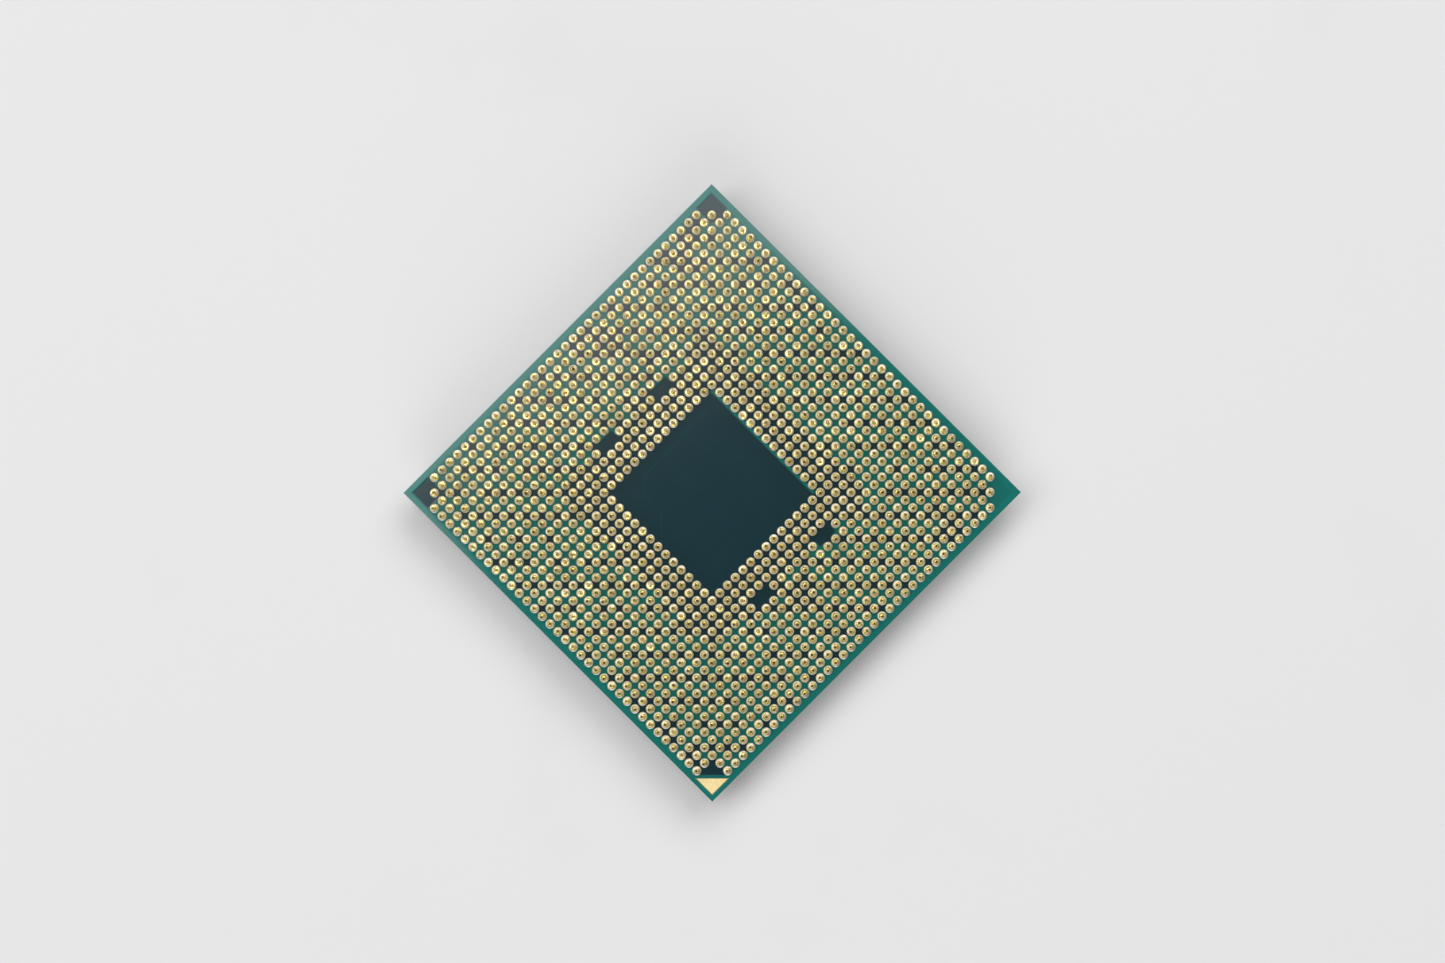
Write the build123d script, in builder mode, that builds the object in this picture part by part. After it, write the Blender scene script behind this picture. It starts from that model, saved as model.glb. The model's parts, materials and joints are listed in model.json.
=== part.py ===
from build123d import *
import os

os.makedirs("parts", exist_ok=True)

# A lidded pin-grid processor lying on its lid. z = 0 is the flat cooling face of the lid,
# +Z points along the pins, and the marked corner of the package is at (+x, -y).

# Substrate, all in millimetres
substrate_side = 40.0
core_thickness = 0.80
build_up_thickness = 0.12
copper_thickness = 0.02
mask_thickness = 0.03
copper_edge_gap = 0.25

# Pin field: nail-headed pins, each soldered into a round opening of the solder mask
pin_pitch = 1.0
pin_edge_gap = 0.95
void_side = 13.0
pad_gap = 0.12
pin_length = 2.0
pin_radius = 0.15
pin_tip_chamfer = 0.04
head_radius = 0.31
head_thickness = 0.11
neck_size = 0.07
solder_film = 0.04
solder_lip = 0.02

# Missing pins that key the field: side of the void and row, both counted from the middle
key_offset = 4
key_gaps = [(-1, -4), (-1, -3), (-1, 3), (-1, 4), (1, -4), (1, -3), (1, 4), (1, 5)]

# Gold mark in the marked corner of each face
mark_leg = 2.03
mark_edge_gap = 0.48
mark_thickness = 0.02
mark_clearance = 0.05
mark_moat = 0.12

# Lid
lid_inset = 1.3
lid_corner_radius = 1.2
flange_width = 2.3
flange_step = 1.1
foot_width = 4.0
cavity_corner_radius = 1.5
lid_plate_thickness = 1.90
lid_edge_fillet = 0.25
adhesive_thickness = 0.10
adhesive_width = 2.4
vent_width = 3.0

# Die under the lid
die_length = 20.0
die_width = 11.0
die_thickness = 0.78
bump_height = 0.08
thermal_solder_thickness = 0.24
thermal_solder_inset = 0.15
underfill_spread = 0.7
underfill_climb = 0.35

# Capacitors in two banks, one along each long side of the die
capacitor_length = 1.0
capacitor_width = 0.5
capacitor_height = 0.5
terminal_length = 0.25
terminal_wall = 0.03
capacitor_pad_growth = 0.05
capacitors_per_row = 9
capacitor_rows = 2
capacitor_pitch = 1.9
capacitor_row_pitch = 1.7
capacitor_die_gap = 1.6

# Levels, from the cooling face up to the pin tips
die_face_z = lid_plate_thickness + thermal_solder_thickness
lid_side_z = die_face_z + die_thickness + bump_height
lid_foot_z = lid_side_z - adhesive_thickness
lid_build_up_z = lid_side_z + mask_thickness
core_z = lid_build_up_z + build_up_thickness
pin_build_up_z = core_z + core_thickness
pin_copper_z = pin_build_up_z + build_up_thickness
pin_side_z = pin_copper_z + mask_thickness
head_z = pin_copper_z + solder_film
head_top_z = head_z + head_thickness
pin_tip_z = pin_side_z + pin_length

# Plan sizes that follow from the driving ones
half_side = substrate_side / 2
copper_side = substrate_side - 2 * copper_edge_gap
lid_side = substrate_side - 2 * lid_inset
cooling_side = lid_side - 2 * flange_width
cavity_side = lid_side - 2 * foot_width
adhesive_side = lid_side - (foot_width - adhesive_width)
pad_radius = (pin_pitch - pad_gap) / 2

# Whole pitches from the middle of the field to its outer row, to the edge of the void
# and to the columns that hold the key gaps
outer_row = int((half_side - pin_edge_gap) / pin_pitch)
void_row = int(void_side / 2 / pin_pitch)
key_column = void_row + key_offset
bare_void_side = (2 * void_row + 1) * pin_pitch - pad_gap


def in_void(column, row):
    return max(abs(column), abs(row)) <= void_row


# Two places by two are empty in the marked corner, and three places in each other corner
def in_cut_corner(column, row):
    steps = sorted([outer_row - abs(column), outer_row - abs(row)])
    if column > 0 and row < 0:
        return steps[1] <= 1
    return sum(steps) <= 1


def in_key_gap(column, row):
    return any((column, row) == (side * key_column, key_row) for side, key_row in key_gaps)


def fitted(column, row):
    return not (in_void(column, row) or in_cut_corner(column, row) or in_key_gap(column, row))


# The field is built in four oblong banks that turn about the void like a pinwheel
def bank_places(quarter_turns):
    places = []
    for column in range(-outer_row, outer_row + 1):
        for row in range(-outer_row, outer_row + 1):
            turned = (column, row)
            for _ in range(quarter_turns):
                turned = (turned[1], -turned[0])
            if turned[0] > void_row and turned[1] >= -void_row and fitted(column, row):
                places.append((column * pin_pitch, row * pin_pitch))
    return places


banks = {name: bank_places(turns) for turns, name in enumerate(["a", "b", "c", "d"])}


def save(name, piece):
    piece.part.label = name
    export_step(piece.part, f"parts/{name}.step")


# The right triangle of the corner mark, grown outwards by an even clearance
def mark_points(growth):
    reach = half_side - mark_edge_gap + growth
    leg = mark_leg + growth * (2 + 2**0.5)
    return [(reach, -reach), (reach - leg, -reach), (reach, -reach + leg)]


# The bare triangle that an empty corner of the field leaves in the copper
def bare_corner_points(side_x, side_y):
    reach = (outer_row + 0.5) * pin_pitch
    leg = 3 * pin_pitch
    x, y = side_x * reach, side_y * reach
    return [(x, y), (x - side_x * leg, y), (x, y - side_y * leg)]


# Outer copper on the pin side, bare under the void, the key gaps and the empty corners
with BuildPart() as pin_side_copper:
    with BuildSketch(Plane.XY.offset(pin_copper_z - copper_thickness)):
        Rectangle(copper_side, copper_side)
        Rectangle(bare_void_side, bare_void_side, mode=Mode.SUBTRACT)
        with Locations(*[(side * key_column * pin_pitch, row * pin_pitch) for side, row in key_gaps]):
            Rectangle(pin_pitch, pin_pitch, mode=Mode.SUBTRACT)
        for side_x, side_y in [(-1, -1), (-1, 1), (1, 1)]:
            Polygon(*bare_corner_points(side_x, side_y), align=None, mode=Mode.SUBTRACT)
        Polygon(*mark_points(mark_moat), align=None, mode=Mode.SUBTRACT)
    extrude(amount=copper_thickness)
save("pin_side_copper", pin_side_copper)

with BuildPart() as lid_side_copper:
    with BuildSketch(Plane.XY.offset(lid_build_up_z)):
        Rectangle(copper_side, copper_side)
        Polygon(*mark_points(mark_moat), align=None, mode=Mode.SUBTRACT)
    extrude(amount=copper_thickness)
save("lid_side_copper", lid_side_copper)

# Laminate: a glass-fibre core, and on each face a build-up layer with the copper let into it
with BuildPart() as core_laminate:
    with BuildSketch(Plane.XY.offset(core_z)):
        Rectangle(substrate_side, substrate_side)
    extrude(amount=core_thickness)
save("core_laminate", core_laminate)

with BuildPart() as pin_side_build_up:
    with BuildSketch(Plane.XY.offset(pin_build_up_z)):
        Rectangle(substrate_side, substrate_side)
    extrude(amount=build_up_thickness)
    add(pin_side_copper.part, mode=Mode.SUBTRACT)
save("pin_side_build_up", pin_side_build_up)

with BuildPart() as lid_side_build_up:
    with BuildSketch(Plane.XY.offset(lid_build_up_z)):
        Rectangle(substrate_side, substrate_side)
    extrude(amount=build_up_thickness)
    add(lid_side_copper.part, mode=Mode.SUBTRACT)
save("lid_side_build_up", lid_side_build_up)

# Solder mask on the pin side, open at every pad and at the corner mark
with BuildPart() as pin_side_solder_mask:
    with BuildSketch(Plane.XY.offset(pin_copper_z)):
        Rectangle(substrate_side, substrate_side)
        Polygon(*mark_points(mark_clearance), align=None, mode=Mode.SUBTRACT)
        with Locations(*[place for places in banks.values() for place in places]):
            Circle(pad_radius, mode=Mode.SUBTRACT)
    extrude(amount=mask_thickness, clean=False)
save("pin_side_solder_mask", pin_side_solder_mask)

# One gold-plated mark on each face, at the same corner
for name, mark_z in [("pin_side", pin_copper_z), ("lid_side", lid_build_up_z - mark_thickness)]:
    with BuildPart() as corner_mark:
        with BuildSketch(Plane.XY.offset(mark_z)):
            Polygon(*mark_points(0), align=None)
        extrude(amount=mark_thickness)
    save(f"{name}_corner_mark", corner_mark)

# A pin: flat nail head, small conical neck, straight shank with a chamfered tip
with BuildPart() as pin:
    with BuildSketch(Plane.XZ):
        Polygon(
            (0, head_z),
            (0, pin_tip_z),
            (pin_radius - pin_tip_chamfer, pin_tip_z),
            (pin_radius, pin_tip_z - pin_tip_chamfer),
            (pin_radius, head_top_z + neck_size),
            (pin_radius + neck_size, head_top_z),
            (head_radius, head_top_z),
            (head_radius, head_z),
            align=None,
        )
    revolve(axis=Axis.Z)

# A solder joint: fills the mask opening, cups the head and climbs to just below its top,
# steeper as it nears the head
lip_z = head_top_z - solder_lip
knee_radius = head_radius + (pad_radius - head_radius) / 3
knee_z = pin_side_z + (lip_z - pin_side_z) / 3
with BuildPart() as solder_joint:
    with BuildSketch(Plane.XZ):
        Polygon(
            (0, head_z),
            (0, pin_copper_z),
            (pad_radius, pin_copper_z),
            (pad_radius, pin_side_z),
            (knee_radius, knee_z),
            (head_radius, lip_z),
            (head_radius, head_z),
            align=None,
        )
    revolve(axis=Axis.Z)

for name, places in banks.items():
    with BuildPart() as pin_bank:
        with Locations(*places):
            add(pin.part)
    save(f"pins_bank_{name}", pin_bank)
    with BuildPart() as solder_bank:
        with Locations(*places):
            add(solder_joint.part)
    save(f"pin_solder_bank_{name}", solder_bank)

# Lid: a raised cooling face, a lower flange all round and a cavity over the die
with BuildPart() as lid:
    with BuildSketch(Plane.XY.offset(flange_step)):
        RectangleRounded(lid_side, lid_side, lid_corner_radius)
    extrude(amount=lid_foot_z - flange_step)
    flange_rim = lid.faces().sort_by(Axis.Z)[0].edges()
    with BuildSketch():
        RectangleRounded(cooling_side, cooling_side, lid_corner_radius)
    extrude(amount=flange_step)
    fillet(lid.faces().sort_by(Axis.Z)[0].edges() + flange_rim, lid_edge_fillet)
    with BuildSketch(Plane.XY.offset(lid_foot_z)):
        RectangleRounded(cavity_side, cavity_side, cavity_corner_radius)
    extrude(amount=lid_plate_thickness - lid_foot_z, mode=Mode.SUBTRACT)
save("heat_spreader_lid", lid)

# Adhesive bead under the lid's foot, with one gap that vents the cavity
with BuildPart() as lid_adhesive:
    with BuildSketch(Plane.XY.offset(lid_foot_z)):
        RectangleRounded(adhesive_side, adhesive_side, lid_corner_radius)
        offset(amount=-adhesive_width, mode=Mode.SUBTRACT)
        with Locations((0, adhesive_side / 2)):
            Rectangle(vent_width, 2 * foot_width, mode=Mode.SUBTRACT)
    extrude(amount=adhesive_thickness)
save("lid_adhesive", lid_adhesive)

with BuildPart() as thermal_solder:
    with BuildSketch(Plane.XY.offset(lid_plate_thickness)):
        Rectangle(die_width - 2 * thermal_solder_inset, die_length - 2 * thermal_solder_inset)
    extrude(amount=thermal_solder_thickness)
save("thermal_solder", thermal_solder)

with BuildPart() as silicon_die:
    with BuildSketch(Plane.XY.offset(die_face_z)):
        Rectangle(die_width, die_length)
    extrude(amount=die_thickness)
save("silicon_die", silicon_die)

# Underfill between die and substrate, with a sloped skirt that climbs the die's sides
skirt_width = die_width + 2 * underfill_spread
skirt_length = die_length + 2 * underfill_spread
with BuildPart() as die_underfill:
    with BuildSketch(Plane.XY.offset(lid_side_z)):
        Rectangle(skirt_width, skirt_length)
    with BuildSketch(Plane.XY.offset(lid_side_z - bump_height - underfill_climb)):
        Rectangle(die_width + underfill_spread / 5, die_length + underfill_spread / 5)
    loft()
    add(silicon_die.part, mode=Mode.SUBTRACT)
save("die_underfill", die_underfill)

# Capacitors stand on solder pads in openings of the lid-side mask
first_row_x = die_width / 2 + capacitor_die_gap + capacitor_length / 2
pad_length = terminal_length + capacitor_pad_growth
pad_width = capacitor_width + 2 * capacitor_pad_growth
pad_x = (capacitor_length - terminal_length + capacitor_pad_growth) / 2


def capacitor_centres(side):
    middle_x = side * (first_row_x + (capacitor_rows - 1) * capacitor_row_pitch / 2)
    grid = GridLocations(capacitor_row_pitch, capacitor_pitch, capacitor_rows, capacitors_per_row)
    return [(middle_x + place.position.X, place.position.Y) for place in grid]


def pad_centres(side):
    return [(x + end * pad_x, y) for x, y in capacitor_centres(side) for end in (-1, 1)]


with BuildPart() as lid_side_solder_mask:
    with BuildSketch(Plane.XY.offset(lid_side_z)):
        Rectangle(substrate_side, substrate_side)
        Polygon(*mark_points(mark_clearance), align=None, mode=Mode.SUBTRACT)
        with Locations(*pad_centres(-1), *pad_centres(1)):
            Rectangle(pad_length, pad_width, mode=Mode.SUBTRACT)
    extrude(amount=mask_thickness, clean=False)
save("lid_side_solder_mask", lid_side_solder_mask)

core_length = capacitor_length - 2 * terminal_wall
core_width = capacitor_width - 2 * terminal_wall
core_height = capacitor_height - 2 * terminal_wall
body_z = lid_side_z - capacitor_height / 2
with BuildPart() as capacitor_body:
    with Locations((0, 0, body_z)):
        Box(core_length, core_width, core_height)

with BuildPart() as capacitor_terminals:
    terminal_x = (capacitor_length - terminal_length) / 2
    with Locations((-terminal_x, 0, body_z), (terminal_x, 0, body_z)):
        Box(terminal_length, capacitor_width, capacitor_height)
    add(capacitor_body.part, mode=Mode.SUBTRACT)

for name, side in [("left", -1), ("right", 1)]:
    with BuildPart() as body_bank:
        with Locations(*capacitor_centres(side)):
            add(capacitor_body.part)
    save(f"capacitor_bodies_{name}", body_bank)
    with BuildPart() as terminal_bank:
        with Locations(*capacitor_centres(side)):
            add(capacitor_terminals.part)
    save(f"capacitor_terminals_{name}", terminal_bank)
    with BuildPart() as pad_bank:
        with BuildSketch(Plane.XY.offset(lid_side_z)):
            with Locations(*pad_centres(side)):
                Rectangle(pad_length, pad_width)
        extrude(amount=mask_thickness)
    save(f"capacitor_solder_{name}", pad_bank)

print("pins", {name: len(places) for name, places in banks.items()})
print("package height", pin_tip_z, "body height", pin_side_z)
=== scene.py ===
import json
import math
import random

import bmesh
import bpy
from mathutils import Matrix, Vector

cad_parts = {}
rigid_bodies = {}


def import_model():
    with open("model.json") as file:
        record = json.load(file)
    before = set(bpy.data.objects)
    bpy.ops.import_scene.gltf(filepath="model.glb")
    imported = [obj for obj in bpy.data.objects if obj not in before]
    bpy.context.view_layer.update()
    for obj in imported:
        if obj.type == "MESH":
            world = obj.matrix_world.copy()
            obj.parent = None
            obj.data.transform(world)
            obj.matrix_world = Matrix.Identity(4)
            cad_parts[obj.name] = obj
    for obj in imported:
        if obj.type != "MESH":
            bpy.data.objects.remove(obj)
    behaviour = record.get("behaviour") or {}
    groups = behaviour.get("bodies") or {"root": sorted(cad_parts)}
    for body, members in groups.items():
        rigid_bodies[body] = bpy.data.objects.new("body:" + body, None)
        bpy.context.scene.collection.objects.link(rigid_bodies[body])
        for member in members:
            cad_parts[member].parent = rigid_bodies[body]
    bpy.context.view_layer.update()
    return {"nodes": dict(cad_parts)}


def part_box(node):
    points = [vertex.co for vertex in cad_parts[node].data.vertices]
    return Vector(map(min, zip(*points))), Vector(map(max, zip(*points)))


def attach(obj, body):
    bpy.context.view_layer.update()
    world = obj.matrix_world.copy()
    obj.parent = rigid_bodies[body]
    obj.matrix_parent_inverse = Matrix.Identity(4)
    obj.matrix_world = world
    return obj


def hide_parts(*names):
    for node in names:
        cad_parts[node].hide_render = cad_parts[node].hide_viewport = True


for leftover in list(bpy.data.objects):
    bpy.data.objects.remove(leftover)

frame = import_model()
nodes = frame["nodes"]
mm = 0.001
bankNames = ["a", "b", "c", "d"]
print("frame loaded with", len(nodes), "nodes")

# What every later stage measures from
layout = {
    "pitch": 1.0 * mm,
    "padRadius": 0.44 * mm,
    "headRadius": 0.32 * mm,
    "shankRadius": 0.15 * mm,
    "seed": 39,
}
maskLow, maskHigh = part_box("pin_side_solder_mask")
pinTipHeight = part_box("pins_bank_a")[1].z
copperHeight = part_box("pin_side_copper")[1].z
random.seed(layout["seed"])


def deselectAll():
    if bpy.context.object and bpy.context.object.mode != "OBJECT":
        bpy.ops.object.mode_set(mode="OBJECT")
    bpy.ops.object.select_all(action="DESELECT")


def makeActive(thing):
    deselectAll()
    thing.select_set(True)
    bpy.context.view_layer.objects.active = thing


def applyPlace(thing):
    makeActive(thing)
    bpy.ops.object.transform_apply(location=True, rotation=True, scale=True)


# A round solid: a filled circle pulled up through (radius, height) stations
def turnedSolid(name, stations, sides):
    deselectAll()
    firstRadius, firstHeight = stations[0]
    bpy.ops.mesh.primitive_circle_add(
        vertices=sides, radius=firstRadius, fill_type="NGON", location=(0, 0, firstHeight))
    solid = bpy.context.object
    solid.name = name
    applyPlace(solid)
    bpy.ops.object.mode_set(mode="EDIT")
    bpy.ops.mesh.select_all(action="SELECT")
    radius, height = stations[0]
    for nextRadius, nextHeight in stations[1:]:
        lift = {"value": (0, 0, nextHeight - height)}
        bpy.ops.mesh.extrude_region_move(TRANSFORM_OT_translate=lift)
        ratio = nextRadius / radius
        bpy.ops.transform.resize(value=(ratio, ratio, 1), center_override=(0, 0, nextHeight))
        radius, height = nextRadius, nextHeight
    bpy.ops.mesh.select_all(action="SELECT")
    bpy.ops.mesh.normals_make_consistent(inside=False)
    bpy.ops.object.mode_set(mode="OBJECT")
    return solid


# Whole-pitch places of a bank's pins, read from the tips of its node
def pinPlaces(bank):
    pitch = layout["pitch"]
    tips = (corner.co for corner in nodes[f"pins_bank_{bank}"].data.vertices
            if corner.co.z > pinTipHeight - 0.01 * mm)
    return sorted({(round(tip.x / pitch), round(tip.y / pitch)) for tip in tips})


# One object holding a copy of the pattern at each place, each copy leaning a little and turned
def copiesAt(name, pattern, places, height, lean=0.0, turned=False):
    gathered = bmesh.new()
    for column, row in places:
        foot = Vector((column * layout["pitch"], row * layout["pitch"], height))
        move = Matrix.Translation(foot)
        if turned:
            move = move @ Matrix.Rotation(random.gauss(0, lean), 4, "X")
            move = move @ Matrix.Rotation(random.gauss(0, lean), 4, "Y")
            move = move @ Matrix.Rotation(random.uniform(0, math.tau), 4, "Z")
        pattern.data.transform(move)
        gathered.from_mesh(pattern.data)
        pattern.data.transform(move.inverted())
    mesh = bpy.data.meshes.new(name)
    gathered.to_mesh(mesh)
    gathered.free()
    thing = bpy.data.objects.new(name, mesh)
    bpy.context.scene.collection.objects.link(thing)
    return thing


def smoothByAngle(thing, degrees):
    makeActive(thing)
    bpy.ops.object.shade_smooth_by_angle(angle=math.radians(degrees))


# Node helpers; lengths inside the materials are in millimetres
def feed(tree, socket, value):
    if isinstance(value, bpy.types.NodeSocket):
        tree.links.new(value, socket)
    else:
        socket.default_value = value


def calc(tree, operation, first, second=0.0, third=0.0):
    node = tree.nodes.new("ShaderNodeMath")
    node.operation = operation
    for socket, value in zip(node.inputs, (first, second, third)):
        feed(tree, socket, value)
    return node.outputs[0]


def vectorCalc(tree, operation, first, second=(0, 0, 0), answer="Vector"):
    node = tree.nodes.new("ShaderNodeVectorMath")
    node.operation = operation
    feed(tree, node.inputs[0], first)
    feed(tree, node.inputs[1], second)
    return node.outputs[answer]


def parts(tree, vector):
    node = tree.nodes.new("ShaderNodeSeparateXYZ")
    feed(tree, node.inputs[0], vector)
    return node.outputs


def joined(tree, x, y, z):
    node = tree.nodes.new("ShaderNodeCombineXYZ")
    for socket, value in zip(node.inputs, (x, y, z)):
        feed(tree, socket, value)
    return node.outputs[0]


def ramp(tree, value, low, high, toLow=0.0, toHigh=1.0):
    node = tree.nodes.new("ShaderNodeMapRange")
    node.interpolation_type = "SMOOTHSTEP"
    for socket, given in zip(node.inputs, (value, low, high, toLow, toHigh)):
        feed(tree, socket, given)
    return node.outputs[0]


def noise(tree, where, scale, detail=2.0, roughness=0.5):
    node = tree.nodes.new("ShaderNodeTexNoise")
    feed(tree, node.inputs["Vector"], where)
    node.inputs["Scale"].default_value = scale
    node.inputs["Detail"].default_value = detail
    node.inputs["Roughness"].default_value = roughness
    return node.outputs[0]


def chance(tree, where):
    node = tree.nodes.new("ShaderNodeTexWhiteNoise")
    feed(tree, node.inputs["Vector"], where)
    return node.outputs["Value"]


def blend(tree, amount, first, second):
    node = tree.nodes.new("ShaderNodeMix")
    node.data_type = "RGBA"
    feed(tree, node.inputs["Factor"], amount)
    feed(tree, node.inputs[6], first)
    feed(tree, node.inputs[7], second)
    return node.outputs[2]


def stretched(tree, where, factors):
    return vectorCalc(tree, "MULTIPLY", where, factors)


def setBump(tree, shader, height, strength, distance):
    node = tree.nodes.new("ShaderNodeBump")
    node.inputs["Strength"].default_value = strength
    node.inputs["Distance"].default_value = distance
    feed(tree, node.inputs["Height"], height)
    tree.links.new(node.outputs[0], shader.inputs["Normal"])


# A new material with its shader and the object's own coordinates in millimetres
def startMaterial(name, metallic, roughness):
    material = bpy.data.materials.new(name)
    material.use_nodes = True
    tree = material.node_tree
    shader = tree.nodes["Principled BSDF"]
    shader.inputs["Metallic"].default_value = metallic
    feed(tree, shader.inputs["Roughness"], roughness)
    own = tree.nodes.new("ShaderNodeTexCoord").outputs["Object"]
    where = stretched(tree, own, (1 / mm, 1 / mm, 1 / mm))
    return material, tree, shader, where


def rgb(red, green, blue):
    return (red, green, blue, 1.0)


# Whole-number name of the pin that a point belongs to, and its distance from that pin's axis
def aroundPin(tree, where):
    x, y, _ = parts(tree, where)
    column = calc(tree, "ROUND", x)
    row = calc(tree, "ROUND", y)
    away = joined(tree, calc(tree, "SUBTRACT", x, column), calc(tree, "SUBTRACT", y, row), 0.0)
    reach = vectorCalc(tree, "LENGTH", away, answer="Value")
    return joined(tree, column, row, 0.0), reach


pinGold = {
    "bright": rgb(1.0, 0.89, 0.38),
    "deep": rgb(0.84, 0.73, 0.32),
    "tinned": rgb(0.80, 0.73, 0.56),
    # painted dark reflection on the cut ends of the pins
    "paintedTipReflection": rgb(0.26, 0.19, 0.09),
}


def makePinGold():
    material, tree, shader, where = startMaterial("pinGold", 1.0, 0.2)
    pinName, reach = aroundPin(tree, where)
    lot = chance(tree, pinName)
    cloud = noise(tree, where, 9.0, 3.0)
    tone = calc(tree, "MULTIPLY_ADD", cloud, 0.5, calc(tree, "MULTIPLY", lot, 0.6))
    gold = blend(tree, ramp(tree, tone, 0.25, 0.85), pinGold["bright"], pinGold["deep"])
    # solder creeps over the rim of the head, further on some pins than on others
    creep = calc(tree, "MULTIPLY_ADD", lot, -0.07, 0.385)
    creep = calc(tree, "ADD", creep, calc(tree, "MULTIPLY", cloud, -0.04))
    wetted = ramp(tree, calc(tree, "SUBTRACT", reach, creep), -0.03, 0.02)
    colour = blend(tree, wetted, gold, pinGold["tinned"])
    # the cut end of the wire is painted dark: a painted reflection of the dark room straight above it
    height = parts(tree, where)[2]
    endHeight = (pinTipHeight - 0.03 * mm) / mm
    paintedTipReflection = calc(tree, "MULTIPLY", ramp(tree, height, endHeight, endHeight + 0.01), 0.9)
    feed(tree, shader.inputs["Base Color"], blend(tree, paintedTipReflection, colour, pinGold["paintedTipReflection"]))
    polish = calc(tree, "MULTIPLY_ADD", lot, 0.08, 0.08)
    polish = calc(tree, "MULTIPLY_ADD", cloud, 0.08, polish)
    feed(tree, shader.inputs["Roughness"], polish)
    # heads are never quite flat: a slow swell, with a finer grain on it
    swell = noise(tree, where, 2.6, 0.0)
    height = calc(tree, "MULTIPLY_ADD", noise(tree, where, 26.0, 1.0), 0.012, swell)
    setBump(tree, shader, height, 0.35, 0.00002)
    return material


jointSolder = {
    "clean": rgb(0.74, 0.71, 0.66),
    "golden": rgb(0.76, 0.62, 0.36),
    "dull": rgb(0.42, 0.38, 0.32),
}


def makeJointSolder():
    material, tree, shader, where = startMaterial("jointSolder", 1.0, 0.3)
    pinName, reach = aroundPin(tree, where)
    lot = chance(tree, vectorCalc(tree, "ADD", pinName, (7.3, 2.1, 5.0)))
    cloud = noise(tree, where, 7.0, 3.0)
    inward = ramp(tree, reach, 0.30, 0.42, 1.0, 0.0)
    golden = calc(tree, "MULTIPLY", inward, calc(tree, "MULTIPLY_ADD", lot, 0.6, 0.4))
    colour = blend(tree, golden, jointSolder["clean"], jointSolder["golden"])
    stain = ramp(tree, calc(tree, "ADD", cloud, calc(tree, "MULTIPLY", lot, 0.25)), 0.62, 0.86)
    feed(tree, shader.inputs["Base Color"], blend(tree, stain, colour, jointSolder["dull"]))
    feed(tree, shader.inputs["Roughness"], calc(tree, "MULTIPLY_ADD", cloud, 0.25, 0.30))
    setBump(tree, shader, noise(tree, where, 12.0, 3.0), 0.4, 0.00002)
    return material


# The varnish shows teal over copper and dark where the copper is missing
maskLook = {
    "overCopper": rgb(0.001, 0.127, 0.118),
    "overCopperWarm": rgb(0.003, 0.146, 0.123),
    "bare": rgb(0.001, 0.025, 0.035),
    "bareLight": rgb(0.005, 0.040, 0.050),
    "trace": rgb(0.004, 0.055, 0.058),
    # painted light: lighter varnish for the border strip, which the pins do not shade
    "strip": rgb(0.002, 0.185, 0.160),
    "voidReachX": 6.62,
    "voidLow": -6.62,
    "voidHigh": 6.43,
    "voidStrip": 0.35,
    "traceWidth": 0.09,
    "traceCorners": [(-5.65, 4.8), (-5.5, -3.2), (-4.3, -4.5), (-2.05, -4.5), (-0.35, -6.2)],
    "innerReach": 10.2,
    "latticeStep": 3.0,
    "latticeShare": 0.82,
    "fieldReach": 19.0,
    "keyGaps": [(-10, -3.5), (-10, 3.5), (10, -3.5), (10, 4.5)],
    "keyGapHalf": (0.52, 1.0),
    "emptyCorners": [(-18.42, -18.42), (-18.42, 18.42), (18.42, -18.42)],
    "emptyCornerHalf": (1.0, 1.0),
    "copperPastMark": 36.55,     # x - y from here on, round the corner mark
    "copperPastField": 35.95,    # x + y from here on, in the corner at +x +y
    # where the painted light of the border strip fades in
    "litBorderReach": (19.35, 19.5),
}


# 1 where the copper below the varnish is missing, for the pin side
def missingCopper(tree, where):
    x, y, _ = parts(tree, where)
    across = calc(tree, "FLOOR", x)
    along = calc(tree, "FLOOR", y)
    cell = joined(tree, across, along, 0.0)
    lot = chance(tree, cell)
    diagonal = calc(tree, "SUBTRACT", across, along)
    phase = calc(tree, "FLOORED_MODULO", diagonal, maskLook["latticeStep"])
    onLattice = calc(tree, "LESS_THAN", phase, 0.5)
    lattice = calc(tree, "MULTIPLY", onLattice, calc(tree, "LESS_THAN", lot, maskLook["latticeShare"]))
    middleX = calc(tree, "ABSOLUTE", calc(tree, "ADD", across, 0.5))
    middleY = calc(tree, "ABSOLUTE", calc(tree, "ADD", along, 0.5))
    ring = calc(tree, "MAXIMUM", middleX, middleY)
    drift = noise(tree, cell, 0.21, 1.0)
    innerEdge = calc(tree, "MULTIPLY_ADD", drift, 3.0, maskLook["innerReach"] - 1.5)
    inner = calc(tree, "LESS_THAN", ring, innerEdge)
    patchy = calc(tree, "GREATER_THAN", noise(tree, cell, 0.13, 1.0), 0.62)
    patchy = calc(tree, "MULTIPLY", patchy, calc(tree, "GREATER_THAN", lot, 0.45))
    missing = calc(tree, "MAXIMUM", calc(tree, "MAXIMUM", lattice, inner), patchy)
    # the bare middle, with a strip of copper left along its +y side
    low, high = maskLook["voidLow"], maskLook["voidHigh"]
    inVoidX = calc(tree, "LESS_THAN", calc(tree, "ABSOLUTE", x), maskLook["voidReachX"])
    overLow = calc(tree, "MULTIPLY", inVoidX, calc(tree, "GREATER_THAN", y, low))
    strip = calc(tree, "MULTIPLY", overLow, calc(tree, "LESS_THAN", y, high + maskLook["voidStrip"]))
    inVoid = calc(tree, "MULTIPLY", overLow, calc(tree, "LESS_THAN", y, high))
    missing = calc(tree, "MULTIPLY", missing, calc(tree, "SUBTRACT", 1.0, strip))
    missing = calc(tree, "MAXIMUM", missing, inVoid)
    inField = calc(tree, "LESS_THAN", ring, maskLook["fieldReach"])
    return calc(tree, "MULTIPLY", missing, inField)


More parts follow.
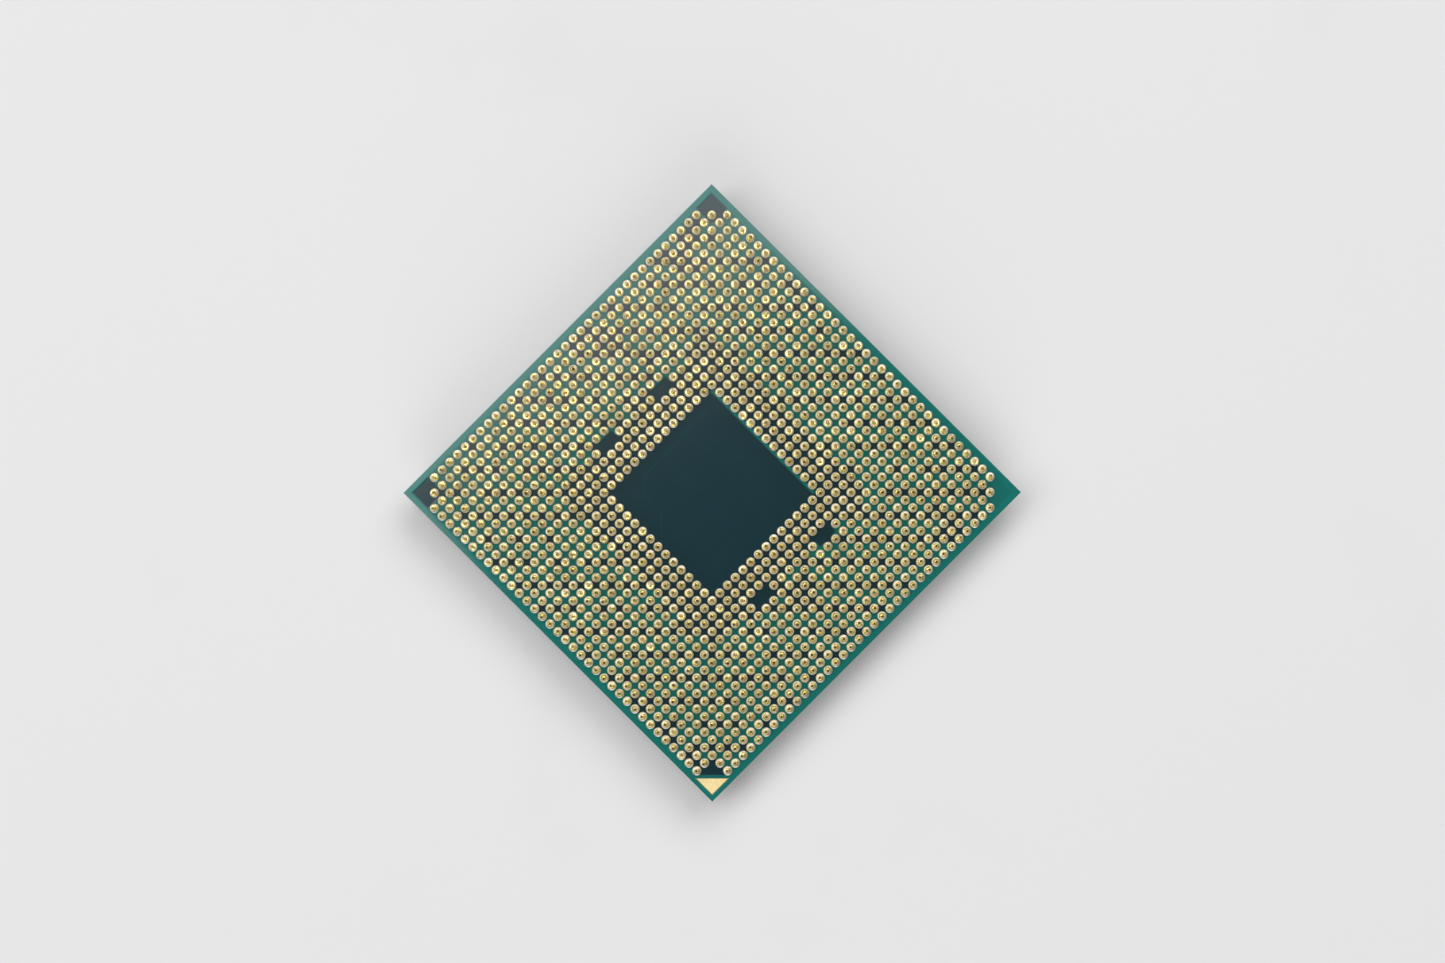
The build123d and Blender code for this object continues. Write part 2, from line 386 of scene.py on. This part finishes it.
# 1 inside an upright rectangle with soft edges
def inRectangle(tree, where, centre, halfWidth, halfHeight, softness=0.08):
    x, y, _ = parts(tree, vectorCalc(tree, "SUBTRACT", where, (*centre, 0.0)))
    outX = calc(tree, "SUBTRACT", calc(tree, "ABSOLUTE", x), halfWidth)
    outY = calc(tree, "SUBTRACT", calc(tree, "ABSOLUTE", y), halfHeight)
    return ramp(tree, calc(tree, "MAXIMUM", outX, outY), -softness, softness, 1.0, 0.0)


# Distance in plan from the straight line between two points
def toSegment(tree, where, start, end):
    along = Vector((end[0] - start[0], end[1] - start[1], 0))
    flat = vectorCalc(tree, "MULTIPLY", where, (1, 1, 0))
    fromStart = vectorCalc(tree, "SUBTRACT", flat, (*start, 0))
    share = vectorCalc(tree, "DOT_PRODUCT", fromStart, tuple(along / along.length_squared), "Value")
    share = calc(tree, "MAXIMUM", calc(tree, "MINIMUM", share, 1.0), 0.0)
    shift = vectorCalc(tree, "MULTIPLY", joined(tree, share, share, share), tuple(along))
    return vectorCalc(tree, "LENGTH", vectorCalc(tree, "SUBTRACT", fromStart, shift), answer="Value")


def makeMaskVarnish():
    material, tree, shader, where = startMaterial("maskVarnish", 0.0, 0.3)
    missing = missingCopper(tree, where)
    for centre in maskLook["keyGaps"]:
        gap = inRectangle(tree, where, centre, *maskLook["keyGapHalf"])
        missing = calc(tree, "MAXIMUM", missing, gap)
    for centre in maskLook["emptyCorners"]:
        corner = inRectangle(tree, where, centre, *maskLook["emptyCornerHalf"])
        missing = calc(tree, "MAXIMUM", missing, corner)
    x, y, _ = parts(tree, where)
    # copper again round the corner mark, and in the corner at +x +y
    pastMark = calc(tree, "SUBTRACT", calc(tree, "SUBTRACT", x, y), maskLook["copperPastMark"])
    pastField = calc(tree, "SUBTRACT", calc(tree, "ADD", x, y), maskLook["copperPastField"])
    beyond = calc(tree, "MAXIMUM", pastMark, pastField)
    missing = calc(tree, "MULTIPLY", missing, ramp(tree, beyond, -0.05, 0.05, 1.0, 0.0))
    cloud = noise(tree, where, 0.35, 3.0)
    fine = noise(tree, where, 14.0, 4.0, 0.7)
    copper = blend(tree, cloud, maskLook["overCopper"], maskLook["overCopperWarm"])
    bare = blend(tree, calc(tree, "MULTIPLY", fine, cloud), maskLook["bare"], maskLook["bareLight"])
    corners = maskLook["traceCorners"]
    away = 100.0
    for start, end in zip(corners, corners[1:]):
        away = calc(tree, "MINIMUM", away, toSegment(tree, where, start, end))
    onTrace = ramp(tree, away, 0.0, maskLook["traceWidth"], 0.55, 0.0)
    bare = blend(tree, onTrace, bare, maskLook["trace"])
    colour = blend(tree, missing, copper, bare)
    # the strip outside the field is painted paler: painted light, since the varnish between the pins lies
    # in their shade and this strip does not
    reach = calc(tree, "MAXIMUM", calc(tree, "ABSOLUTE", x), calc(tree, "ABSOLUTE", y))
    strip = calc(tree, "MULTIPLY", ramp(tree, reach, *maskLook["litBorderReach"]), 0.5)
    feed(tree, shader.inputs["Base Color"], blend(tree, strip, colour, maskLook["strip"]))
    rough = calc(tree, "MULTIPLY_ADD", fine, 0.06, 0.06)
    feed(tree, shader.inputs["Roughness"], rough)
    height = calc(tree, "MULTIPLY_ADD", missing, -0.3, calc(tree, "MULTIPLY", fine, 0.03))
    setBump(tree, shader, height, 0.35, 0.00002)
    return material


def makeLidVarnish():
    material, tree, shader, where = startMaterial("lidSideVarnish", 0.0, 0.32)
    cloud = noise(tree, where, 0.5, 3.0)
    fine = noise(tree, where, 12.0, 4.0, 0.7)
    copper = blend(tree, cloud, maskLook["overCopper"], maskLook["overCopperWarm"])
    feed(tree, shader.inputs["Base Color"],
         blend(tree, ramp(tree, fine, 0.55, 0.9), copper, maskLook["bareLight"]))
    feed(tree, shader.inputs["Roughness"], calc(tree, "MULTIPLY_ADD", fine, 0.16, 0.24))
    setBump(tree, shader, fine, 0.25, 0.00001)
    return material


cornerGold = {"light": rgb(0.94, 0.78, 0.42), "deep": rgb(0.83, 0.65, 0.31)}


def makeCornerGold():
    material, tree, shader, where = startMaterial("cornerGold", 1.0, 0.45)
    grain = noise(tree, where, 8.0, 5.0, 0.7)
    feed(tree, shader.inputs["Base Color"],
         blend(tree, ramp(tree, grain, 0.3, 0.75), cornerGold["light"], cornerGold["deep"]))
    feed(tree, shader.inputs["Roughness"], calc(tree, "MULTIPLY_ADD", grain, 0.2, 0.36))
    setBump(tree, shader, noise(tree, where, 40.0, 4.0, 0.8), 0.5, 0.00002)
    return material


boardEdge = {"resin": rgb(0.33, 0.36, 0.16), "glass": rgb(0.62, 0.62, 0.40), "char": rgb(0.16, 0.14, 0.07)}


# Sawn edge of the laminate: layers of glass cloth in resin, with the ends of the fibre bundles
def makeCoreEdge():
    material, tree, shader, where = startMaterial("coreEdge", 0.0, 0.6)
    layers = calc(tree, "SINE", calc(tree, "MULTIPLY", parts(tree, where)[2], 48.0))
    bundles = noise(tree, stretched(tree, where, (3.0, 3.0, 12.0)), 1.0, 3.0)
    glass = ramp(tree, calc(tree, "MULTIPLY_ADD", layers, 0.25, bundles), 0.35, 0.75)
    colour = blend(tree, glass, boardEdge["resin"], boardEdge["glass"])
    burnt = ramp(tree, noise(tree, where, 1.3, 4.0, 0.7), 0.56, 0.8)
    feed(tree, shader.inputs["Base Color"], blend(tree, burnt, colour, boardEdge["char"]))
    feed(tree, shader.inputs["Roughness"], calc(tree, "MULTIPLY_ADD", bundles, 0.3, 0.45))
    setBump(tree, shader, bundles, 0.6, 0.00003)
    return material


buildUpLook = {"film": rgb(0.10, 0.16, 0.09), "filler": rgb(0.22, 0.30, 0.18)}


def makeBuildUp():
    material, tree, shader, where = startMaterial("buildUpFilm", 0.0, 0.55)
    grain = noise(tree, where, 20.0, 4.0, 0.7)
    feed(tree, shader.inputs["Base Color"],
         blend(tree, grain, buildUpLook["film"], buildUpLook["filler"]))
    feed(tree, shader.inputs["Roughness"], calc(tree, "MULTIPLY_ADD", grain, 0.25, 0.42))
    setBump(tree, shader, grain, 0.4, 0.00002)
    return material


copperLook = {"clean": rgb(0.90, 0.52, 0.36), "brown": rgb(0.50, 0.24, 0.15)}


def makeCopper():
    material, tree, shader, where = startMaterial("copperSheet", 1.0, 0.4)
    cloud = noise(tree, where, 1.5, 4.0, 0.6)
    feed(tree, shader.inputs["Base Color"],
         blend(tree, ramp(tree, cloud, 0.35, 0.75), copperLook["clean"], copperLook["brown"]))
    feed(tree, shader.inputs["Roughness"], calc(tree, "MULTIPLY_ADD", cloud, 0.25, 0.28))
    setBump(tree, shader, noise(tree, where, 30.0, 3.0), 0.3, 0.00001)
    return material


lidLook = {"nickel": rgb(0.66, 0.65, 0.62), "worn": rgb(0.54, 0.52, 0.48), "scuff": rgb(0.80, 0.79, 0.77)}


# Nickel plating: fine blasted grain, long faint rolling lines, dull clouds and a few scuffs
def makeNickel():
    material, tree, shader, where = startMaterial("lidNickel", 1.0, 0.3)
    cloud = noise(tree, where, 0.16, 4.0, 0.6)
    rolling = noise(tree, stretched(tree, where, (0.25, 9.0, 1.0)), 1.0, 3.0)
    grain = noise(tree, where, 22.0, 3.0, 0.6)
    scuffs = noise(tree, stretched(tree, where, (2.2, 0.12, 1.0)), 1.0, 5.0, 0.8)
    scuffed = ramp(tree, scuffs, 0.70, 0.78)
    colour = blend(tree, ramp(tree, cloud, 0.35, 0.7), lidLook["nickel"], lidLook["worn"])
    feed(tree, shader.inputs["Base Color"], blend(tree, scuffed, colour, lidLook["scuff"]))
    rough = calc(tree, "MULTIPLY_ADD", cloud, 0.25, 0.18)
    rough = calc(tree, "MULTIPLY_ADD", rolling, 0.12, rough)
    feed(tree, shader.inputs["Roughness"], rough)
    height = calc(tree, "MULTIPLY_ADD", rolling, 0.5, calc(tree, "MULTIPLY", grain, 0.4))
    height = calc(tree, "MULTIPLY_ADD", scuffed, -0.5, height)
    setBump(tree, shader, height, 0.3, 0.00002)
    return material


adhesiveLook = {"grey": rgb(0.06, 0.06, 0.065), "dusty": rgb(0.16, 0.16, 0.16)}


def makeAdhesive():
    material, tree, shader, where = startMaterial("lidSealant", 0.0, 0.55)
    cloud = noise(tree, where, 2.5, 4.0, 0.6)
    feed(tree, shader.inputs["Base Color"],
         blend(tree, ramp(tree, cloud, 0.4, 0.8), adhesiveLook["grey"], adhesiveLook["dusty"]))
    feed(tree, shader.inputs["Roughness"], calc(tree, "MULTIPLY_ADD", cloud, 0.3, 0.4))
    setBump(tree, shader, cloud, 0.6, 0.00005)
    return material


# Plain metal or ceramic with a cloudy blend of two tones and a fine grain
def makeCloudy(name, metallic, first, second, scale, roughLow, roughSpan, bumpScale, strength):
    material, tree, shader, where = startMaterial(name, metallic, roughLow)
    cloud = noise(tree, where, scale, 4.0, 0.6)
    feed(tree, shader.inputs["Base Color"], blend(tree, ramp(tree, cloud, 0.35, 0.75), first, second))
    feed(tree, shader.inputs["Roughness"], calc(tree, "MULTIPLY_ADD", cloud, roughSpan, roughLow))
    setBump(tree, shader, noise(tree, where, bumpScale, 3.0), strength, 0.00002)
    return material


looks = {
    "pinGold": makePinGold(),
    "jointSolder": makeJointSolder(),
    "maskVarnish": makeMaskVarnish(),
    "lidVarnish": makeLidVarnish(),
    "cornerGold": makeCornerGold(),
    "core": makeCoreEdge(),
    "buildUp": makeBuildUp(),
    "copper": makeCopper(),
    "nickel": makeNickel(),
    "adhesive": makeAdhesive(),
    "indium": makeCloudy("thermalSolder", 1.0, rgb(0.70, 0.71, 0.73), rgb(0.52, 0.53, 0.56),
                         1.2, 0.25, 0.3, 20.0, 0.3),
    "silicon": makeCloudy("siliconDie", 0.6, rgb(0.22, 0.23, 0.27), rgb(0.16, 0.16, 0.20),
                          0.4, 0.08, 0.12, 30.0, 0.05),
    "underfill": makeCloudy("underfillResin", 0.0, rgb(0.04, 0.035, 0.025), rgb(0.09, 0.07, 0.04),
                            1.4, 0.15, 0.25, 9.0, 0.3),
    "ceramic": makeCloudy("capacitorCeramic", 0.0, rgb(0.30, 0.19, 0.11), rgb(0.40, 0.27, 0.17),
                          5.0, 0.35, 0.25, 40.0, 0.3),
    "tin": makeCloudy("tinnedEnd", 1.0, rgb(0.78, 0.77, 0.74), rgb(0.58, 0.56, 0.52),
                      6.0, 0.25, 0.3, 35.0, 0.4),
}
print("materials made:", len(looks))


def dress(piece, look):
    piece.data.materials.clear()
    piece.data.materials.append(looks[look])


cadLooks = {
    "core_laminate": "core", "pin_side_build_up": "buildUp", "lid_side_build_up": "buildUp",
    "pin_side_copper": "copper", "lid_side_copper": "copper",
    "pin_side_solder_mask": "maskVarnish", "lid_side_solder_mask": "lidVarnish",
    "pin_side_corner_mark": "cornerGold", "lid_side_corner_mark": "cornerGold",
    "heat_spreader_lid": "nickel", "lid_adhesive": "adhesive", "thermal_solder": "indium",
    "silicon_die": "silicon", "die_underfill": "underfill",
}
for side in ("left", "right"):
    cadLooks[f"capacitor_bodies_{side}"] = "ceramic"
    cadLooks[f"capacitor_terminals_{side}"] = "tin"
    cadLooks[f"capacitor_solder_{side}"] = "jointSolder"
for nodeName, look in cadLooks.items():
    slots = nodes[nodeName].material_slots
    if len(slots) == 0:
        nodes[nodeName].data.materials.append(looks[look])
    for slot in slots:
        slot.material = looks[look]
print("CAD nodes dressed")


# The varnish sheet of the pin side
sheetShape = {
    "openingSides": 16,
    "flatReach": 19.6 * mm,      # the sheet is level up to here, then thins towards the board's edge
    "edgeDrop": 0.016 * mm,
    "openingCorner": 19.57 * mm,
    "openingLeg": 2.20 * mm,
    "markedCorner": 17.4 * mm,   # only faces beyond this in x and -y are cut for the mark
    "snap": 0.001 * mm,
    "cellSlack": 0.1 * mm,       # the cut follows a cell's own edge that lies this near
}


# One pitch of the sheet with a round opening and its wall
def openCell():
    sides, half = sheetShape["openingSides"], layout["pitch"] / 2
    deselectAll()
    bpy.ops.mesh.primitive_circle_add(vertices=sides, radius=half, fill_type="NOTHING")
    cell = bpy.context.object
    for corner in cell.data.vertices:
        reach = half / max(abs(corner.co.x), abs(corner.co.y))
        corner.co = (corner.co.x * reach, corner.co.y * reach, 0)
    bpy.ops.object.mode_set(mode="EDIT")
    bpy.ops.mesh.select_all(action="SELECT")
    bpy.ops.mesh.extrude_edges_move()
    bpy.ops.object.mode_set(mode="OBJECT")
    rim = [corner for corner in cell.data.vertices if corner.select]
    for corner in rim:
        corner.co = corner.co.normalized() * layout["padRadius"]
    bpy.ops.object.mode_set(mode="EDIT")
    drop = {"value": (0, 0, maskLow.z - maskHigh.z)}
    bpy.ops.mesh.extrude_edges_move(TRANSFORM_OT_translate=drop)
    bpy.ops.object.mode_set(mode="OBJECT")
    return cell


def plainCell():
    deselectAll()
    bpy.ops.mesh.primitive_plane_add(size=layout["pitch"])
    return bpy.context.object


# The strip outside the field: level, then sloping, then down over the board's edge
def borderStrip(fieldHalf):
    deselectAll()
    bpy.ops.mesh.primitive_plane_add(size=2 * fieldHalf, location=(0, 0, maskHigh.z))
    strip = bpy.context.object
    applyPlace(strip)
    bpy.ops.object.mode_set(mode="EDIT")
    bpy.ops.mesh.select_all(action="SELECT")
    bpy.ops.mesh.delete(type="ONLY_FACE")
    bpy.ops.mesh.select_all(action="SELECT")
    reach, slope = fieldHalf, sheetShape["edgeDrop"]
    wall = maskHigh.z - slope - maskLow.z
    for nextReach, drop in ((sheetShape["flatReach"], 0), (maskHigh.x, slope), (maskHigh.x, wall)):
        bpy.ops.mesh.extrude_edges_move(TRANSFORM_OT_translate={"value": (0, 0, -drop)})
        ratio = nextReach / reach
        bpy.ops.transform.resize(value=(ratio, ratio, 1), center_override=(0, 0, 0))
        reach = nextReach
    bpy.ops.object.mode_set(mode="OBJECT")
    return strip


# Cut the triangle of the corner mark out of the sheet and give the cut its walls
def openCornerMark(sheet):
    reach, leg = sheetShape["openingCorner"], sheetShape["openingLeg"]
    cuts = (
        ((reach, -reach, 0), (1, 0, 0)),
        ((reach, -reach, 0), (0, 1, 0)),
        ((reach - leg, -reach, 0), (1, -1, 0)),
    )
    makeActive(sheet)
    for place, across in cuts:
        bpy.ops.object.mode_set(mode="EDIT")
        bpy.ops.mesh.select_all(action="DESELECT")
        bpy.ops.object.mode_set(mode="OBJECT")
        for face in sheet.data.polygons:
            corner = min(face.center.x, -face.center.y) > sheetShape["markedCorner"]
            level = face.center.z > maskHigh.z - sheetShape["snap"]
            long = face.area > 2 * layout["pitch"] ** 2 and level
            face.select = corner or long
        bpy.ops.object.mode_set(mode="EDIT")
        bpy.ops.mesh.bisect(plane_co=place, plane_no=across)
    bpy.ops.mesh.select_all(action="DESELECT")
    bpy.ops.object.mode_set(mode="OBJECT")
    for face in sheet.data.polygons:
        x, y = face.center.x, face.center.y
        face.select = x < reach and y > -reach and x - y > 2 * reach - leg and face.normal.z > 0.5
    bpy.ops.object.mode_set(mode="EDIT")
    bpy.ops.mesh.select_mode(type="FACE")
    bpy.ops.mesh.delete(type="FACE")
    bpy.ops.mesh.select_mode(type="EDGE")
    bpy.ops.object.mode_set(mode="OBJECT")
    snap, outside = sheetShape["snap"], sheetShape["flatReach"] - sheetShape["snap"]
    for edge in sheet.data.edges:
        first, last = (sheet.data.vertices[index].co for index in edge.vertices)
        beyond = [end.x - end.y - (2 * reach - leg) for end in (first, last)]
        slanted = abs(beyond[0] - beyond[1]) < snap and abs(beyond[0]) < sheetShape["cellSlack"]
        outer = min(first.x, last.x) > outside or max(first.y, last.y) < -outside
        outer = outer and beyond[0] + beyond[1] > snap
        edge.select = min(first.z, last.z) > maskHigh.z - snap and (slanted or outer)
    bpy.ops.object.mode_set(mode="EDIT")
    drop = {"value": (0, 0, maskLow.z - maskHigh.z)}
    bpy.ops.mesh.extrude_edges_move(TRANSFORM_OT_translate=drop)
    bpy.ops.mesh.select_mode(type="FACE")
    bpy.ops.object.mode_set(mode="OBJECT")


def makeSheet():
    opening, plain = openCell(), plainCell()
    fitted = [place for bank in bankNames for place in pinPlaces(bank)]
    half = max(column for column, _ in fitted)
    span = range(-half, half + 1)
    empty = sorted({(column, row) for column in span for row in span} - set(fitted))
    cells = copiesAt("openCells", opening, fitted, maskHigh.z)
    blanks = copiesAt("plainCells", plain, empty, maskHigh.z)
    strip = borderStrip((half + 0.5) * layout["pitch"])
    bpy.data.objects.remove(opening)
    bpy.data.objects.remove(plain)
    makeActive(cells)
    blanks.select_set(True)
    strip.select_set(True)
    bpy.ops.object.join()
    sheet = bpy.context.object
    sheet.name = "varnishSheet"
    bpy.ops.object.mode_set(mode="EDIT")
    bpy.ops.mesh.select_all(action="SELECT")
    bpy.ops.mesh.remove_doubles(threshold=0.0005 * mm)
    bpy.ops.mesh.normals_make_consistent(inside=False)
    bpy.ops.object.mode_set(mode="OBJECT")
    openCornerMark(sheet)
    smoothByAngle(sheet, 20)
    return sheet


sheet = makeSheet()
dress(sheet, "maskVarnish")
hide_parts("pin_side_solder_mask")
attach(sheet, "root")
print("varnish sheet has", len(sheet.data.polygons), "faces")


# One pin and one solder joint are turned, then copied to every place of a bank
pinShape = {
    "sides": 12,
    "headLow": 0.04 * mm,        # heights above the copper
    "headHigh": 0.09 * mm,
    "lean": 0.02,
    "collar": [(0.30, 0.115), (0.20, 0.116), (0.165, 0.16)],     # radius and height
    "shankLow": 0.26 * mm,
    "tipRadius": 0.105 * mm,
    "tipLength": 0.05 * mm,
    "shorter": 0.01 * mm,
}
jointShape = {
    "sides": 14,
    "stations": [(0.43, 0.0), (0.44, 0.03), (0.425, 0.06), (0.38, 0.095), (0.33, 0.115)],   # as above
}


def pinPattern():
    length = pinTipHeight - copperHeight - pinShape["shorter"]
    headRadius, shank = layout["headRadius"], layout["shankRadius"]
    stations = [(headRadius, pinShape["headLow"]), (headRadius, pinShape["headHigh"])]
    stations += [(radius * mm, height * mm) for radius, height in pinShape["collar"]]
    stations += [(shank, pinShape["shankLow"]), (shank, length - pinShape["tipLength"])]
    stations += [(pinShape["tipRadius"], length)]
    return turnedSolid("pinPattern", stations, pinShape["sides"])


def jointPattern():
    stations = [(radius * mm, height * mm) for radius, height in jointShape["stations"]]
    return turnedSolid("jointPattern", stations, jointShape["sides"])


onePin, oneJoint = pinPattern(), jointPattern()
for bank in bankNames:
    places = pinPlaces(bank)
    pins = copiesAt(f"pins_{bank}", onePin, places, copperHeight, pinShape["lean"], True)
    joints = copiesAt(f"solderJoints_{bank}", oneJoint, places, copperHeight, 0.0, True)
    for piece, look, node, slot in (
        (pins, "pinGold", f"pins_bank_{bank}", "pin_gold"),
        (joints, "jointSolder", f"pin_solder_bank_{bank}", "pin_solder"),
    ):
        dress(piece, look)
        smoothByAngle(piece, 35)
        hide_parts(node)
        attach(piece, "root")
    print("bank", bank, "has", len(places), "pins")
bpy.data.objects.remove(onePin)
bpy.data.objects.remove(oneJoint)


stageLook = {"size": 4.0, "below": 0.02 * mm, "pale": rgb(0.80, 0.79, 0.80), "mark": rgb(0.72, 0.71, 0.72)}


def makeFloor():
    deselectAll()
    bpy.ops.mesh.primitive_plane_add(size=stageLook["size"], location=(0, 0, -stageLook["below"]))
    floor = bpy.context.object
    floor.name = "floor"
    material, tree, shader, where = startMaterial("floorPaint", 0.0, 0.6)
    cloud = noise(tree, where, 0.02, 4.0, 0.6)
    feed(tree, shader.inputs["Base Color"],
         blend(tree, ramp(tree, cloud, 0.55, 0.9), stageLook["pale"], stageLook["mark"]))
    setBump(tree, shader, noise(tree, where, 0.6, 3.0), 0.05, 0.0002)
    floor.data.materials.append(material)


# Soft panels that face the part: where they hang in metres, their size and their radiance
lightPanels = {
    "panelOverhead": {"place": (-0.755, -0.55, 1.5), "size": (1.0, 1.9), "radiance": 2.5, "spin": -14.8},
    "panelTop": {"place": (-0.35, 0.9, 1.15), "size": (1.2, 0.9), "radiance": 3.1},
    "panelFill": {"place": (1.0, -1.0, 0.6), "size": (1.2, 1.2), "radiance": 2.0},
}
roomLight = 0.23


def makeLights():
    for name, panel in lightPanels.items():
        data = bpy.data.lights.new(name, "AREA")
        data.shape = "RECTANGLE"
        data.size, data.size_y = panel["size"]
        # a square metre of panel with this radiance gives off this power
        data.energy = panel["radiance"] * data.size * data.size_y * math.pi
        lamp = bpy.data.objects.new(name, data)
        bpy.context.scene.collection.objects.link(lamp)
        lamp.location = panel["place"]
        if "spin" in panel:
            lamp.rotation_euler.z = math.radians(panel["spin"])   # this one hangs level
        else:
            lamp.rotation_euler = lamp.location.to_track_quat("Z", "Y").to_euler()
    world = bpy.data.worlds.new("room")
    world.use_nodes = True
    background = world.node_tree.nodes["Background"]
    background.inputs["Color"].default_value = rgb(1.0, 1.0, 1.0)
    background.inputs["Strength"].default_value = roomLight
    bpy.context.scene.world = world


cameraSet = {
    "foot": (0.01066, 0.00045),     # point under the lens
    "height": 0.480,
    "aim": (-0.00003, 0.0014),      # point of the board in the middle of the frame
    "seenWidth": 0.13235025,        # what the frame spans across the board
    "roll": math.radians(-0.054),
}


def makeCamera():
    data = bpy.data.cameras.new("camera")
    camera = bpy.data.objects.new("camera", data)
    bpy.context.scene.collection.objects.link(camera)
    boardTop = maskHigh.z
    eye = Vector((*cameraSet["foot"], cameraSet["height"]))
    aim = Vector((*cameraSet["aim"], boardTop))
    back = (eye - aim).normalized()
    upward = Vector((-1, 1, 0)).normalized()
    right = upward.cross(back).normalized()
    upward = back.cross(right)
    turn = Matrix((right, upward, back)).transposed().to_4x4()
    camera.matrix_world = Matrix.Translation(eye) @ turn @ Matrix.Rotation(cameraSet["roll"], 4, "Z")
    data.sensor_width = 36.0
    data.lens = (eye - aim).length * data.sensor_width / cameraSet["seenWidth"]
    data.clip_start = 0.01
    bpy.context.scene.camera = camera


makeFloor()
makeLights()
makeCamera()
bpy.context.scene.view_settings.view_transform = "Standard"
print("stage set")
